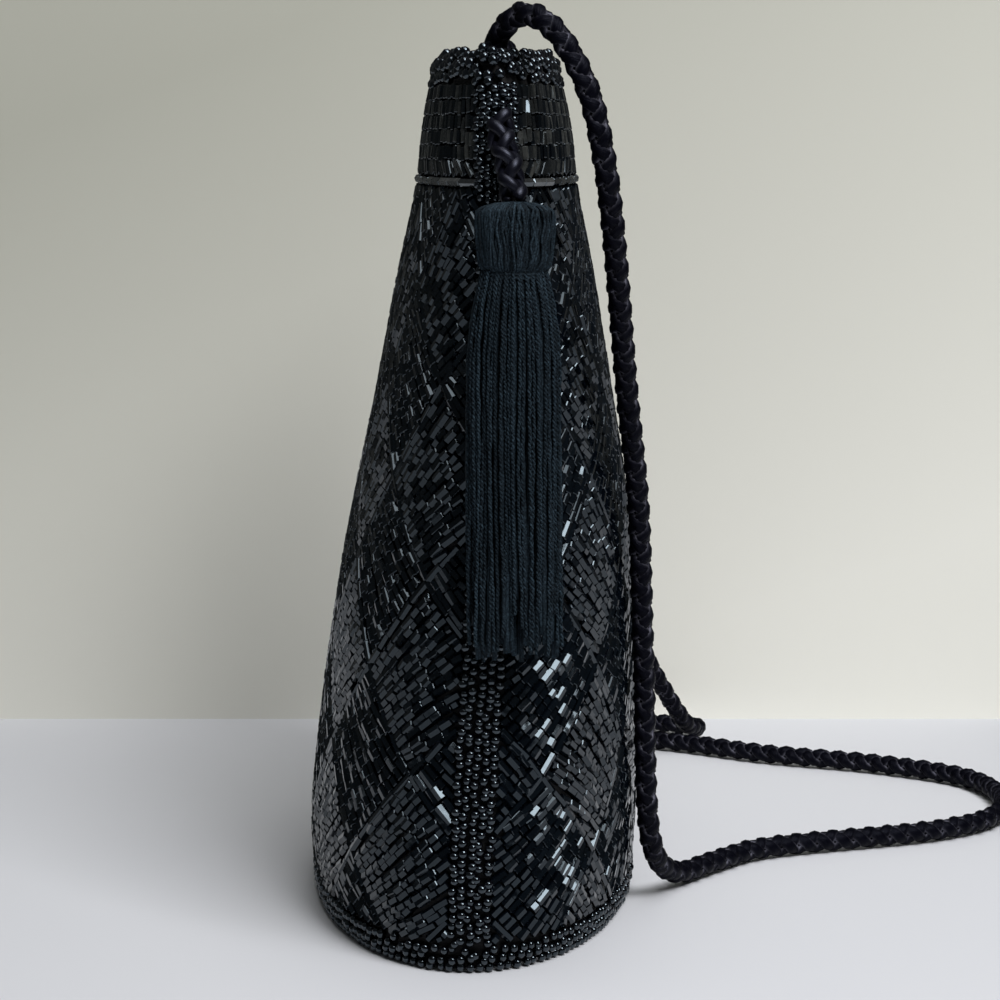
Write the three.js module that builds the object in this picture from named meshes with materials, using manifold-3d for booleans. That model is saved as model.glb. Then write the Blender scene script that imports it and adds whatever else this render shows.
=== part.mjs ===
// Beaded evening bag: a hollow oval cloth bag under glass beadwork, with seed-bead edgings, a braided
// strap and a tassel on each side seam. Millimetres, +Z up, standing on the plane z = 0.
// X runs across the bag's depth, Y along its length, and the origin is the centre of the base.
import * as THREE from 'three';
import { mergeVertices } from 'three/addons/utils/BufferGeometryUtils.js';
import Module from 'manifold-3d';

// Outer face of the beaded wall, an oval at each height: its full depth and length, and how far its
// centre has leant towards +X.
const SECTIONS = [
  { z: 0, depth: 78.5, length: 176, lean: 0 },
  { z: 15, depth: 81.2, length: 180, lean: -0.1 },
  { z: 46, depth: 78.4, length: 177, lean: 1.4 },
  { z: 83, depth: 71.8, length: 171, lean: 3.7 },
  { z: 128, depth: 56.4, length: 163, lean: 5.2 },
  { z: 150, depth: 48.6, length: 158.4, lean: 5.5 },
  { z: 174, depth: 39, length: 153, lean: 5.8 },
  { z: 184, depth: 37, length: 149.8, lean: 5.8 },
  { z: 193, depth: 33.8, length: 147, lean: 5.7 },
  { z: 204, depth: 28.8, length: 143, lean: 5.6 },
];

// Walls and bands
const GAP = 0.3;
const WALL_THICKNESS = 2.8;
const BASE_THICKNESS = 3.2;
const BASE_EDGING_TOP = 6.3;
const DIVIDER_BOTTOM = 172.9;
const DIVIDER_TOP = 174.9;
const DIVIDER_PROUD = 0.5;
const COLLAR_TOP = 195.4;
const MOUTH_TOP = 203.2;
const MOUTH_PROUD = 0.7;
const SEAM_WIDTH = 9;
const SEAM_PROUD = 0.4;

// Strap: the centre line of the braid, from inside one end of the mouth, down to the floor, round in
// a loose loop and back into the other end. Each row is x, y, z.
const STRAP_DIAMETER = 5.6;
const STRAP_SIDES = 10;
const STRAP_STEPS = 80;
const STRAP_ROUTE = [
  [5.7, -69.0, 180], [5.6, -64.6, 189], [5.5, -60.8, 198], [6.1, -61.2, 205.4], [11.6, -67.4, 210.5],
  [17.8, -72.6, 207.4], [25.0, -76.0, 195.5], [29.3, -75.0, 178.8], [35.8, -52.0, 124], [38.8, -43.0, 99],
  [40.6, -37.5, 61], [43.4, -31.5, 14], [49.5, -20.0, 4.4], [61.0, -5.0, 3.1], [73.0, 7.0, 3.0],
  [123.0, 26.5, 3.0], [138.0, 39.0, 3.0], [145.0, 58.0, 3.0], [140.0, 83.0, 3.0], [117.0, 101.0, 3.0],
  [86.0, 114.0, 3.0], [53.0, 133.0, 3.0], [18.0, 139.0, 3.0], [-14.0, 138.0, 3.0], [-27.5, 144.5, 3.0],
  [-27.5, 158.0, 3.0], [-14.0, 164.5, 3.0], [20.0, 163.0, 3.0], [53.0, 158.0, 3.0], [67.0, 148.0, 3.6],
  [62.0, 133.0, 9], [43.0, 117.0, 46], [32.5, 106.0, 90], [18.0, 87.0, 176], [12.0, 80.4, 198.2],
  [8.8, 75.4, 206.6], [6.2, 64.8, 206.8], [5.6, 59.6, 198.4], [5.6, 62.6, 188.5], [5.7, 68.6, 180],
];

// Tassels: a folded head and a skirt of cords, hung on a short braid along each seam
const TASSEL_TOP = 169.8;
const TASSEL_OFFSET = 4;
const TASSEL_CLEARANCE = 1.2;
const HEAD_WIDTH = 18.8;
const HEAD_HEIGHT = 16.6;
const HEAD_DEPTH = 11.8;
const SKIRT_BOTTOM_WIDTH = 21.4;
const SKIRT_DEPTH = 11.8;
const SKIRT_LENGTH = 81;
const LOCK_COUNT = 14;
const LOCK_DIAMETER = 4.6;
const LOCK_RAGGED = 5;
const LOCK_SWAY = 0.5;
const NECK_SHARE = 0.86;
const CORE_END_SHARE = 0.9;
const CORE_LENGTH = 53.5;
const TUCK = 1;
const TASSEL_CORD_DIAMETER = 6.4;
const TASSEL_CORD_TOP = 188;
const TASSEL_CORD_OFFSET = 0.9;

// Facets
const ROUND_SEGMENTS = 56;
const PANEL_COLUMNS = 26;
const PANEL_ROWS = 13;
const TASSEL_SEGMENTS = 20;

const finish = (color, roughness) => new THREE.MeshStandardMaterial({ color, roughness, metalness: 0 });
const FINISHES = {
  bugle: finish(0x14161a, 0.18),
  seed: finish(0x0c0c10, 0.15),
  cloth: finish(0x0e0e12, 0.9),
  braid: finish(0x12131b, 0.7),
  thread: finish(0x1a242c, 0.8),
};

const wasm = await Module();
wasm.setup();

// Closed mesh with one vertex at each corner
function sealed(geometry) {
  geometry.deleteAttribute('normal');
  geometry.deleteAttribute('uv');
  return mergeVertices(geometry, 1e-3);
}

// Each vertex goes where the rule puts it.
function reshaped(geometry, rule) {
  const position = geometry.attributes.position;
  const vertex = new THREE.Vector3();
  for (let i = 0; i < position.count; i += 1) {
    const placed = rule(vertex.fromBufferAttribute(position, i));
    position.setXYZ(i, placed.x, placed.y, placed.z);
  }
  return geometry;
}

function node(name, geometry, material) {
  const mesh = new THREE.Mesh(sealed(geometry), material);
  mesh.geometry.computeVertexNormals();
  mesh.name = name;
  return mesh;
}

// The oval at a height, read between the rows of the section table
const profile = new THREE.CubicInterpolant(
  SECTIONS.map((row) => row.z),
  SECTIONS.flatMap((row) => [row.depth / 2, row.length / 2, row.lean]),
  3,
);
function oval(z) {
  const [halfDepth, halfLength, lean] = profile.evaluate(z);
  return { halfDepth, halfLength, lean };
}

// A point a given depth under the outer face, at an angle round the bag: 0 faces +X.
function wallPoint(angle, z, under) {
  const { halfDepth, halfLength, lean } = oval(z);
  const cos = Math.cos(angle);
  const sin = Math.sin(angle);
  const outward = new THREE.Vector3(cos / halfDepth, sin / halfLength, 0).normalize();
  return new THREE.Vector3(lean + halfDepth * cos, halfLength * sin, z).addScaledVector(outward, -under);
}

// Half the angle that a seam strip of the given width takes up at a height
function seamAngle(z, width) {
  return Math.asin(width / 2 / oval(z).halfDepth);
}

// A stretch of wall: a slab bent round the bag, between two angles that may change with height.
function wallSlab({ low, high, proud, rows, columns, angles }) {
  const slab = new THREE.BoxGeometry(1, 1, 1, 1, columns, rows);
  return reshaped(slab, ({ x, y, z }) => {
    const height = THREE.MathUtils.lerp(low, high, z + 0.5);
    const [start, end] = angles(height);
    const angle = THREE.MathUtils.lerp(start, end, y + 0.5);
    const under = x > 0 ? -proud : WALL_THICKNESS;
    return wallPoint(angle, height, under);
  });
}

// A ring round the bag, from a closed outline of points { under, z }
const RING_RADIUS = 100;
function wallRing(outline) {
  const points = [...outline, outline[0]].map(({ under, z }) => new THREE.Vector2(RING_RADIUS - under, z));
  const ring = new THREE.LatheGeometry(points, ROUND_SEGMENTS);
  return reshaped(ring, ({ x, y, z }) => {
    const under = RING_RADIUS - Math.hypot(x, z);
    return wallPoint(Math.atan2(-z, x), y, under);
  });
}

// A round cord along a curve
function cord(curve, diameter, sides, steps) {
  const corners = Array.from({ length: sides }, (_, i) => {
    const turn = (2 * Math.PI * i) / sides;
    return new THREE.Vector2(Math.cos(turn), Math.sin(turn)).multiplyScalar(diameter / 2);
  });
  const options = { steps, extrudePath: curve, bevelEnabled: false };
  return new THREE.ExtrudeGeometry(new THREE.Shape(corners), options);
}

// Solids are joined by way of their shared vertices.
function joined(geometries) {
  const solids = geometries.map((geometry) => {
    const mesh = sealed(geometry);
    const vertProperties = new Float32Array(mesh.attributes.position.array);
    const triVerts = new Uint32Array(mesh.index.array);
    return new wasm.Manifold(new wasm.Mesh({ numProp: 3, vertProperties, triVerts }));
  });
  const whole = solids.reduce((sum, solid) => sum.add(solid)).getMesh();
  const geometry = new THREE.BufferGeometry();
  geometry.setAttribute('position', new THREE.BufferAttribute(whole.vertProperties, 3));
  geometry.setIndex(new THREE.BufferAttribute(whole.triVerts, 1));
  return geometry;
}

const bag = new THREE.Group();

// Base: a flat oval board under cloth, inside a ring of seed beads
const baseOutline = Array.from({ length: ROUND_SEGMENTS }, (_, i) => {
  const rim = wallPoint((2 * Math.PI * i) / ROUND_SEGMENTS, 0, WALL_THICKNESS + GAP);
  return new THREE.Vector2(rim.x, rim.y);
});
const board = new THREE.ExtrudeGeometry(new THREE.Shape(baseOutline), {
  depth: BASE_THICKNESS,
  bevelEnabled: false,
});
bag.add(node('base_panel', board, FINISHES.cloth));

const baseEdging = wallRing([
  { under: WALL_THICKNESS, z: 0 },
  { under: 0.9, z: 0 },
  { under: -0.2, z: 1.2 },
  { under: -0.2, z: BASE_EDGING_TOP - 0.8 },
  { under: 0.5, z: BASE_EDGING_TOP },
  { under: WALL_THICKNESS, z: BASE_EDGING_TOP },
]);
bag.add(node('base_edging', baseEdging, FINISHES.seed));

// Two halves of each band, parted by the seam strips
const QUARTER = Math.PI / 2;
const HALVES = [
  { side: 'front', from: -QUARTER, to: QUARTER },
  { side: 'back', from: QUARTER, to: 3 * QUARTER },
];
const BANDS = [
  { name: 'panel', low: BASE_EDGING_TOP + GAP, high: DIVIDER_BOTTOM - GAP, proud: 0, rows: PANEL_ROWS },
  { name: 'divider', low: DIVIDER_BOTTOM, high: DIVIDER_TOP, proud: DIVIDER_PROUD, rows: 1 },
  { name: 'collar', low: DIVIDER_TOP + GAP, high: COLLAR_TOP, proud: 0, rows: 3 },
];
for (const { side, from, to } of HALVES) {
  for (const { name, low, high, proud, rows } of BANDS) {
    const angles = (z) => {
      const clear = seamAngle(z, SEAM_WIDTH + 2 * GAP);
      return [from + clear, to - clear];
    };
    const slab = wallSlab({ low, high, proud, rows, columns: PANEL_COLUMNS, angles });
    bag.add(node(`${name}_${side}`, slab, FINISHES.bugle));
  }
}

// Seam strips, from the base edging to the mouth edging
for (const [side, middle] of [['near', -QUARTER], ['far', QUARTER]]) {
  const strip = wallSlab({
    low: BASE_EDGING_TOP + GAP,
    high: COLLAR_TOP,
    proud: SEAM_PROUD,
    rows: PANEL_ROWS + 3,
    columns: 4,
    angles: (z) => [middle - seamAngle(z, SEAM_WIDTH), middle + seamAngle(z, SEAM_WIDTH)],
  });
  bag.add(node(`seam_${side}`, strip, FINISHES.seed));
}

// Mouth edging: a plump roll of seed beads
const mouthEdging = wallRing([
  { under: WALL_THICKNESS + 0.4, z: COLLAR_TOP + GAP },
  { under: 0, z: COLLAR_TOP + GAP },
  { under: -MOUTH_PROUD, z: COLLAR_TOP + 1.8 },
  { under: -MOUTH_PROUD, z: MOUTH_TOP - 2 },
  { under: 0.8, z: MOUTH_TOP },
  { under: WALL_THICKNESS - 0.4, z: MOUTH_TOP },
  { under: WALL_THICKNESS + 0.8, z: MOUTH_TOP - 1.8 },
]);
bag.add(node('mouth_edging', mouthEdging, FINISHES.seed));

// Strap
const strapCurve = new THREE.CatmullRomCurve3(STRAP_ROUTE.map((row) => new THREE.Vector3(...row)));
strapCurve.arcLengthDivisions = 2000;
bag.add(node('strap_cord', cord(strapCurve, STRAP_DIAMETER, STRAP_SIDES, STRAP_STEPS), FINISHES.braid));

// Tassel in its own frame: the middle of its head's top is the origin, -Y faces away from the bag.
function tassel() {
  const half = HEAD_WIDTH / 2;
  const headOutline = [
    [0, 0], [0.5, -0.4], [0.84, -2], [1, -5.5], [1, -10], [0.93, -14],
    [NECK_SHARE, -HEAD_HEIGHT], [0, -HEAD_HEIGHT],
  ];
  const outline = headOutline.map(([share, y]) => new THREE.Vector2(share * half, y));
  const head = new THREE.LatheGeometry(outline.reverse(), TASSEL_SEGMENTS);
  head.rotateX(QUARTER).scale(1, HEAD_DEPTH / HEAD_WIDTH, 1);
  const ends = [half * NECK_SHARE, half * CORE_END_SHARE];
  const core = new THREE.CylinderGeometry(...ends, CORE_LENGTH, TASSEL_SEGMENTS);
  core.rotateX(QUARTER).scale(1, SKIRT_DEPTH / SKIRT_BOTTOM_WIDTH, 1);
  core.translate(0, 0, TUCK - HEAD_HEIGHT - CORE_LENGTH / 2);
  const locks = Array.from({ length: LOCK_COUNT }, (_, i) => {
    const turn = (2 * Math.PI * i) / LOCK_COUNT;
    const length = SKIRT_LENGTH - LOCK_RAGGED * (0.5 + 0.5 * Math.sin(2.4 * i));
    const lock = new THREE.CylinderGeometry(LOCK_DIAMETER / 2, LOCK_DIAMETER / 2.3, length, 7, 5);
    lock.rotateX(QUARTER).translate(0, 0, -length / 2);
    return reshaped(lock, ({ x, y, z }) => {
      const fall = -z / SKIRT_LENGTH;
      const width = THREE.MathUtils.lerp(HEAD_WIDTH, SKIRT_BOTTOM_WIDTH, fall) - LOCK_DIAMETER;
      const sway = LOCK_SWAY * Math.sin(5 * fall + 1.7 * i);
      const reach = (SKIRT_DEPTH - LOCK_DIAMETER) / 2;
      return {
        x: x + (width / 2) * Math.cos(turn) + sway,
        y: y + reach * Math.sin(turn),
        z: z + TUCK - HEAD_HEIGHT,
      };
    });
  });
  return joined([head, core, ...locks]);
}

// Both tassels hang along their seam's slope, each with its braid above it.
const skirtEnd = TASSEL_TOP - HEAD_HEIGHT - SKIRT_LENGTH;
const slope = Math.atan2(
  oval(skirtEnd).halfLength - oval(TASSEL_TOP).halfLength,
  TASSEL_TOP - skirtEnd,
);
for (const [side, turn] of [['near', 0], ['far', Math.PI]]) {
  const top = oval(TASSEL_TOP);
  const end = new THREE.Group();
  end.position.x = top.lean;
  end.rotation.z = turn;
  bag.add(end);

  const hung = node(`tassel_${side}`, tassel(), FINISHES.thread);
  const out = top.halfLength + SEAM_PROUD + TASSEL_CLEARANCE + SKIRT_DEPTH / 2;
  hung.position.set(TASSEL_OFFSET, -out, TASSEL_TOP);
  hung.rotation.x = -slope;
  end.add(hung);

  const radius = TASSEL_CORD_DIAMETER / 2;
  const clearOfSeam = SEAM_PROUD + GAP + radius;
  const low = TASSEL_TOP + GAP + radius * Math.sin(slope);
  const braid = new THREE.LineCurve3(
    new THREE.Vector3(TASSEL_CORD_OFFSET, -oval(TASSEL_CORD_TOP).halfLength - clearOfSeam, TASSEL_CORD_TOP),
    new THREE.Vector3(TASSEL_OFFSET, -oval(low).halfLength - clearOfSeam - 1, low + 0.6),
  );
  end.add(node(`tassel_cord_${side}`, cord(braid, TASSEL_CORD_DIAMETER, 10, 3), FINISHES.braid));
}

export default bag;
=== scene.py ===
import bpy
import numpy as np
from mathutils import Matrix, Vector


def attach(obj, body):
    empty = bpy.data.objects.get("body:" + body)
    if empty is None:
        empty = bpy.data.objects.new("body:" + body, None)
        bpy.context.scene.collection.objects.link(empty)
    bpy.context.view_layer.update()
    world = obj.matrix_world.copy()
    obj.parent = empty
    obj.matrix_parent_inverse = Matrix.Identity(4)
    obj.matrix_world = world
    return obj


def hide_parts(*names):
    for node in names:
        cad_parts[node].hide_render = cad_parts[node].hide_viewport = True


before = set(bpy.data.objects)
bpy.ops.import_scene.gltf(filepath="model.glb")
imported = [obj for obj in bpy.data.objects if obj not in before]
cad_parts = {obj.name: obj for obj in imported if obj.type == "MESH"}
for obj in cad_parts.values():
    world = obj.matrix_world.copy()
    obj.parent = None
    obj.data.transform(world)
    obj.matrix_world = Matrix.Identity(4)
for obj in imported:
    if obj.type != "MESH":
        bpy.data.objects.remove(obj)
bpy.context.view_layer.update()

# Cloth walls
# The bag itself: stiff black cloth cut as two panels, sewn together along the two side seams and bent to
# an oval that narrows towards the mouth. All the beadwork is sewn to its outside.
MM = 0.001
CLOTH_OUTER, CLOTH_INNER = 1.75, 2.8
CLOTH_BOTTOM, CLOTH_TOP = 3.4, 202.0
CLOTH_DARK, CLOTH_PALE = (0.001, 0.001, 0.0015, 1), (0.005, 0.005, 0.007, 1)

# Outer face of the beadwork in mm, an oval at each height: height, full depth, full length, lean to +X
SECTIONS = np.array([
    (0, 78.5, 176, 0),
    (15, 81.2, 180, -0.1),
    (46, 78.4, 177, 1.4),
    (83, 71.8, 171, 3.7),
    (128, 56.4, 163, 5.2),
    (150, 48.6, 158.4, 5.5),
    (174, 39, 153, 5.8),
    (184, 37, 149.8, 5.8),
    (193, 33.8, 147, 5.7),
    (204, 28.8, 143, 5.6),
])


def oval(z):
    """Half depth, half length and lean of the wall's outer face at each height."""
    heights, columns = SECTIONS[:, 0], SECTIONS[:, 1:] * (0.5, 0.5, 1)
    secants = np.diff(columns, axis=0) / np.diff(heights)[:, None]
    tangents = np.vstack([secants[:1], (secants[1:] + secants[:-1]) / 2, secants[-1:]])
    row = np.clip(np.searchsorted(heights, z) - 1, 0, len(heights) - 2)
    step = (heights[row + 1] - heights[row])[..., None]
    t = (z - heights[row])[..., None] / step
    start, end = columns[row], columns[row + 1]
    bend = t * (1 - t) * ((1 - t) * tangents[row] - t * tangents[row + 1]) * step
    return np.moveaxis(start + (end - start) * t * t * (3 - 2 * t) + bend, -1, 0)


# Shares of the way round, counted from the near seam towards +X, against angles on the oval
LEVEL_STEP, ROUND_STEPS = 2.0, 720
levels = np.arange(0, 206, LEVEL_STEP)
turns = np.linspace(-np.pi / 2, 1.5 * np.pi, ROUND_STEPS + 1)
level_depth, level_length, _ = oval(levels)
pace = np.hypot(level_depth[:, None] * np.sin(turns), level_length[:, None] * np.cos(turns))
way = np.cumsum((pace[:, 1:] + pace[:, :-1]) / 2, axis=1) * (turns[1] - turns[0])
way = np.hstack([np.zeros((len(levels), 1)), way])
even_shares = np.linspace(0, 1, ROUND_STEPS + 1)
angle_table = np.array([np.interp(even_shares, row / row[-1], turns) for row in way])


def girth(z):
    """Length of the way round the bag at a height."""
    return np.interp(z, levels, way[:, -1])


def angle_at(share, z):
    """Angle on the oval at a share of the way round."""
    column, row = np.mod(share, 1) * ROUND_STEPS, z / LEVEL_STEP
    i = np.clip(row.astype(int), 0, len(levels) - 2)
    j = np.clip(column.astype(int), 0, ROUND_STEPS - 1)
    a, b = row - i, column - j
    low = (1 - b) * angle_table[i, j] + b * angle_table[i, j + 1]
    high = (1 - b) * angle_table[i + 1, j] + b * angle_table[i + 1, j + 1]
    return (1 - a) * low + a * high


def unit(vectors):
    return vectors / np.linalg.norm(vectors, axis=-1, keepdims=True)


def wall(share, z, under):
    """Points a depth under the wall's outer face, and the directions straight out of it there."""
    share, z, under = (np.array(v, float) for v in np.broadcast_arrays(share, z, under))
    angle = angle_at(share, z)
    cos, sin = np.cos(angle), np.sin(angle)
    half_depth, half_length, lean = oval(z)
    depth_rise, length_rise, lean_rise = oval(z + 0.5) - oval(z - 0.5)
    face = np.stack([lean + half_depth * cos, half_length * sin, z], -1)
    along = np.stack([-half_depth * sin, half_length * cos, 0 * z], -1)
    upward = np.stack([lean_rise + depth_rise * cos, length_rise * sin, 0 * z + 1], -1)
    out = unit(np.cross(along, upward))
    return face - out * under[..., None], out


def grid_faces(rows, columns, wrap_rows=False):
    """Quads between neighbours in a grid of points, row by row; the columns always close on themselves."""
    i, j = np.meshgrid(np.arange(rows - (not wrap_rows)), np.arange(columns), indexing="ij")
    i, j = i.ravel(), j.ravel()
    next_i, next_j = (i + 1) % rows, (j + 1) % columns
    corners = (i, j), (i, next_j), (next_i, next_j), (next_i, j)
    return np.stack([row * columns + column for row, column in corners], -1)


def make_piece(name, points, face_groups, material, smooth, nodes, along=None):
    """A mesh piece from points in mm, riding on the bag and standing for the named solids."""
    mesh = bpy.data.meshes.new(name)
    corners = np.concatenate([group.ravel() for group in face_groups]).astype(np.int32)
    sizes = np.concatenate([np.full(len(group), group.shape[1]) for group in face_groups])
    starts = np.concatenate([[0], np.cumsum(sizes)[:-1]]).astype(np.int32)
    mesh.vertices.add(len(points))
    mesh.vertices.foreach_set("co", np.ascontiguousarray(points * MM, np.float32).ravel())
    mesh.loops.add(len(corners))
    mesh.loops.foreach_set("vertex_index", corners)
    mesh.polygons.add(len(sizes))
    mesh.polygons.foreach_set("loop_start", starts)
    mesh.update(calc_edges=True)
    mesh.polygons.foreach_set("use_smooth", np.full(len(sizes), smooth))
    if along is not None:
        lie = mesh.attributes.new("along", "FLOAT_VECTOR", "POINT")
        lie.data.foreach_set("vector", np.ascontiguousarray(along, np.float32).ravel())
    mesh.materials.append(material)
    piece = bpy.data.objects.new(name, mesh)
    bpy.context.scene.collection.objects.link(piece)
    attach(piece, "root")
    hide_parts(*nodes)
    return piece


class Shade:
    """An output of a node in a finish: sums on it add Math nodes, and node() adds any other kind."""

    def __init__(self, tree, socket=None):
        self.tree, self.socket = tree, socket

    def put(self, value, target):
        if isinstance(value, Shade):
            self.tree.links.new(value.socket, target)
        else:
            target.default_value = value

    def node(self, kind, settings=None, sockets=None, output=0):
        made = self.tree.nodes.new("ShaderNode" + kind)
        for key, value in (settings or {}).items():
            setattr(made, key, value)
        for key, value in (sockets or {}).items():
            self.put(value, made.inputs[key])
        return Shade(self.tree, made.outputs[output])

    def blend(self, factor, first, second):
        """A colour between two, through a Mix node."""
        return self.node("Mix", {"data_type": "RGBA"}, {0: factor, 6: first, 7: second}, 2)

    def maths(self, operation, first, second):
        return self.node("Math", {"operation": operation}, {0: first, 1: second})

    def __add__(self, other):
        return self.maths("ADD", self, other)

    def __sub__(self, other):
        return self.maths("SUBTRACT", self, other)

    def __mul__(self, other):
        return self.maths("MULTIPLY", self, other)

    def __pow__(self, other):
        return self.maths("POWER", self, other)

    __radd__, __rmul__ = __add__, __mul__


def new_finish(name, constants):
    """A material, its shader with values that are the same all over, and a hand to add nodes with."""
    material = bpy.data.materials.new(name)
    material.use_nodes = True
    shader = material.node_tree.nodes["Principled BSDF"]
    for socket, value in constants.items():
        shader.inputs[socket].default_value = value
    return material, shader, Shade(material.node_tree)


def cloth_finish():
    """Plain weave: two crossed sets of fine ribs, with slubs of paler yarn."""
    material, shader, hand = new_finish("black_cloth", {"Sheen Weight": 0.03, "IOR": 1.45})
    place = hand.node("TexCoord", output="Object")
    warp = hand.node("TexWave", {"bands_direction": "Z"}, {"Vector": place, "Scale": 420, "Distortion": 1.5})
    weft = hand.node(
        "TexWave", {"bands_direction": "DIAGONAL"}, {"Vector": place, "Scale": 300, "Distortion": 1.5},
    )
    slub = hand.node("TexNoise", None, {"Vector": place, "Scale": 260, "Detail": 4})
    weave = (warp + weft) * 0.5
    hand.put(hand.blend(slub * weave, CLOTH_DARK, CLOTH_PALE), shader.inputs["Base Color"])
    hand.put(0.75 + 0.2 * slub, shader.inputs["Roughness"])
    ribs = hand.node("Bump", None, {"Strength": 0.5, "Distance": 0.0002, "Height": weave})
    hand.put(ribs, shader.inputs["Normal"])
    return material


black_cloth = cloth_finish()
CLOTH_ROUND, CLOTH_RISE = 120, 32
climb = np.linspace(CLOTH_BOTTOM, CLOTH_TOP, CLOTH_RISE)
loop_z = np.concatenate([climb, climb[::-1]])
loop_under = np.concatenate([np.full(CLOTH_RISE, CLOTH_OUTER), np.full(CLOTH_RISE, CLOTH_INNER)])
cloth_shares = np.arange(CLOTH_ROUND) / CLOTH_ROUND
cloth_points, _ = wall(cloth_shares[None, :], loop_z[:, None], loop_under[:, None])
make_piece(
    "cloth_walls", cloth_points.reshape(-1, 3), [grid_faces(2 * CLOTH_RISE, CLOTH_ROUND, wrap_rows=True)],
    black_cloth, True, ["panel_front", "panel_back", "collar_front", "collar_back"],
)

# Base board
# A stiff oval board wrapped in the same black cloth, sewn to the walls all the way round its rim.
# Its edge is rounded by the wrapped cloth.
BOARD_INSET = 3.1
BOARD_RINGS = [  # share of the outline, height in mm
    (0.5, 0.12), (0.975, 0.0), (0.995, 0.5), (1.0, 1.5), (0.995, 2.6), (0.975, 3.1), (0.5, 3.3),
]
BOARD_ROUND = 120
outline, _ = wall(np.arange(BOARD_ROUND) / BOARD_ROUND, np.zeros(BOARD_ROUND), BOARD_INSET)
board_points = np.concatenate([
    np.column_stack([outline[:, :2] * share, np.full(BOARD_ROUND, z)]) for share, z in BOARD_RINGS
])
last_ring = (len(BOARD_RINGS) - 1) * BOARD_ROUND
board_caps = np.stack([np.arange(BOARD_ROUND)[::-1], last_ring + np.arange(BOARD_ROUND)])
make_piece(
    "base_board", board_points, [grid_faces(len(BOARD_RINGS), BOARD_ROUND), board_caps],
    black_cloth, False, ["base_panel"],
)

# Trellis of bugles
# Six-sided tubes of black cut glass, sewn flat to the panels. Long ones outline a trellis of diamonds, and
# short ones fill each diamond in rows along one side, turned the other way in the next column.
BUGLE_WIDTH, LONG_WIDTH = 1.98, 1.7
BUGLE_LENGTHS, LONG_LENGTHS = (2.1, 2.5, 4.6), (4.8, 6.0, 6.8)
ROW_PITCH, ROW_FAN = 2.12, np.radians(13)
ROW_BOW, CELL_BOW = 0.01, 0.02
BEAD_GAP = 0.16
PANEL_LOW, PANEL_HIGH = 6.9, 172.4
SEAM_EDGE = 4.9
DIAMOND_HEIGHT, DIAMOND_FOOT = 43.0, 0.5
FIRST_VERTEX, VERTEX_STEP = 0.08, 0.105
OUTLINE_ROOM = 0.9
# How far a bugle turns on its thread in degrees, and the shares that lie any way on the ends and on the sides
BUGLE_SWAY, LOOSE_ENDS, LOOSE_SIDES = 11.0, 0.3, 1.2
# Unevenness in mm: size, depth and place of a bugle
UNEVEN_SIZE, UNEVEN_DEPTH, UNEVEN_PLACE = 0.08, 0.1, 0.13
BUGLE_SINK, ROUND_LENGTH = 0.05, 400
GLASS_DARK, GLASS_PALE = (0.0006, 0.0012, 0.0025, 1), (0.0025, 0.0045, 0.0075, 1)
rng = np.random.default_rng(11)


def glass_finish(name, dark, pale, smooth_low, smooth_high, bending, contrast=1):
    """Black glass: each bead a little paler or duller than the next, with a faint waviness; where the pale
    colour is far paler than black glass, the paler beads are painted reflections.
    """
    material, shader, hand = new_finish(name, {"IOR": bending, "Specular Tint": (0.72, 0.88, 1, 1)})
    bead = hand.node("NewGeometry", output="Random Per Island")
    place = hand.node("TexCoord", output="Object")
    film = hand.node("TexNoise", None, {"Vector": place, "Scale": 900, "Detail": 3})
    hand.put(hand.blend((bead ** contrast) * film, dark, pale), shader.inputs["Base Color"])
    spread = smooth_high - smooth_low
    hand.put(smooth_low + spread * (bead ** 3) + 0.03 * film, shader.inputs["Roughness"])
    wave = hand.node("TexNoise", None, {"Vector": place, "Scale": 420, "Detail": 1})
    ripple = hand.node("Bump", None, {"Strength": 0.25, "Distance": 0.0002, "Height": wave})
    hand.put(ripple, shader.inputs["Normal"])
    return material


def to_wall(side, h, q):
    """Share and height of a trellis place: h half columns from the seam, q half diamonds up."""
    half_share = FIRST_VERTEX + (h - 1) * VERTEX_STEP
    return side * half_share / 2, DIAMOND_FOOT + q * DIAMOND_HEIGHT / 2


def row_place(side, start, end, bow, t):
    """Share and height along a row of the trellis, which bows a little to one side."""
    along, swell = np.asarray(end) - start, bow * np.sin(np.pi * t)
    column = start[0] + along[0] * t - along[1] * swell
    tier = start[1] + along[1] * t + along[0] * swell
    return to_wall(side, column, tier)


def string_row(side, start, end, bow, lengths):
    """Beads of random length, end to end along a row of the trellis, kept on the panel."""
    t = np.linspace(0, 1, 161)
    share, z = row_place(side, start, end, bow, t)
    around = side * share * girth(z)
    on_panel = (z > PANEL_LOW) & (z < PANEL_HIGH) & (around > SEAM_EDGE) & (girth(z) / 2 - around > SEAM_EDGE)
    if not on_panel.any():
        return []
    points, _ = wall(share, np.clip(z, 0, 203), 0)
    run = np.concatenate([[0], np.cumsum(np.linalg.norm(np.diff(points, axis=0), axis=1))])
    place, last = run[on_panel][0], run[on_panel][-1]
    beads = []
    while last - place > 0.6 * lengths[0]:
        length = min(rng.triangular(*lengths), last - place)
        if last - place - length < 0.6 * lengths[0]:
            length = last - place
        ends = np.interp([place + BEAD_GAP / 2, place + length - BEAD_GAP / 2], run, t)
        shares, heights = row_place(side, start, end, bow, ends)
        beads.append([*shares, *heights])
        place += length
    return beads


# Cross-section of a cut tube as shares of its width: out from the cloth, and across
TUBE_SECTION = np.array([(0.5, 0.29), (0, 0.58), (-0.5, 0.29), (-0.5, -0.29), (0, -0.58), (0.5, -0.29)])


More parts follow.
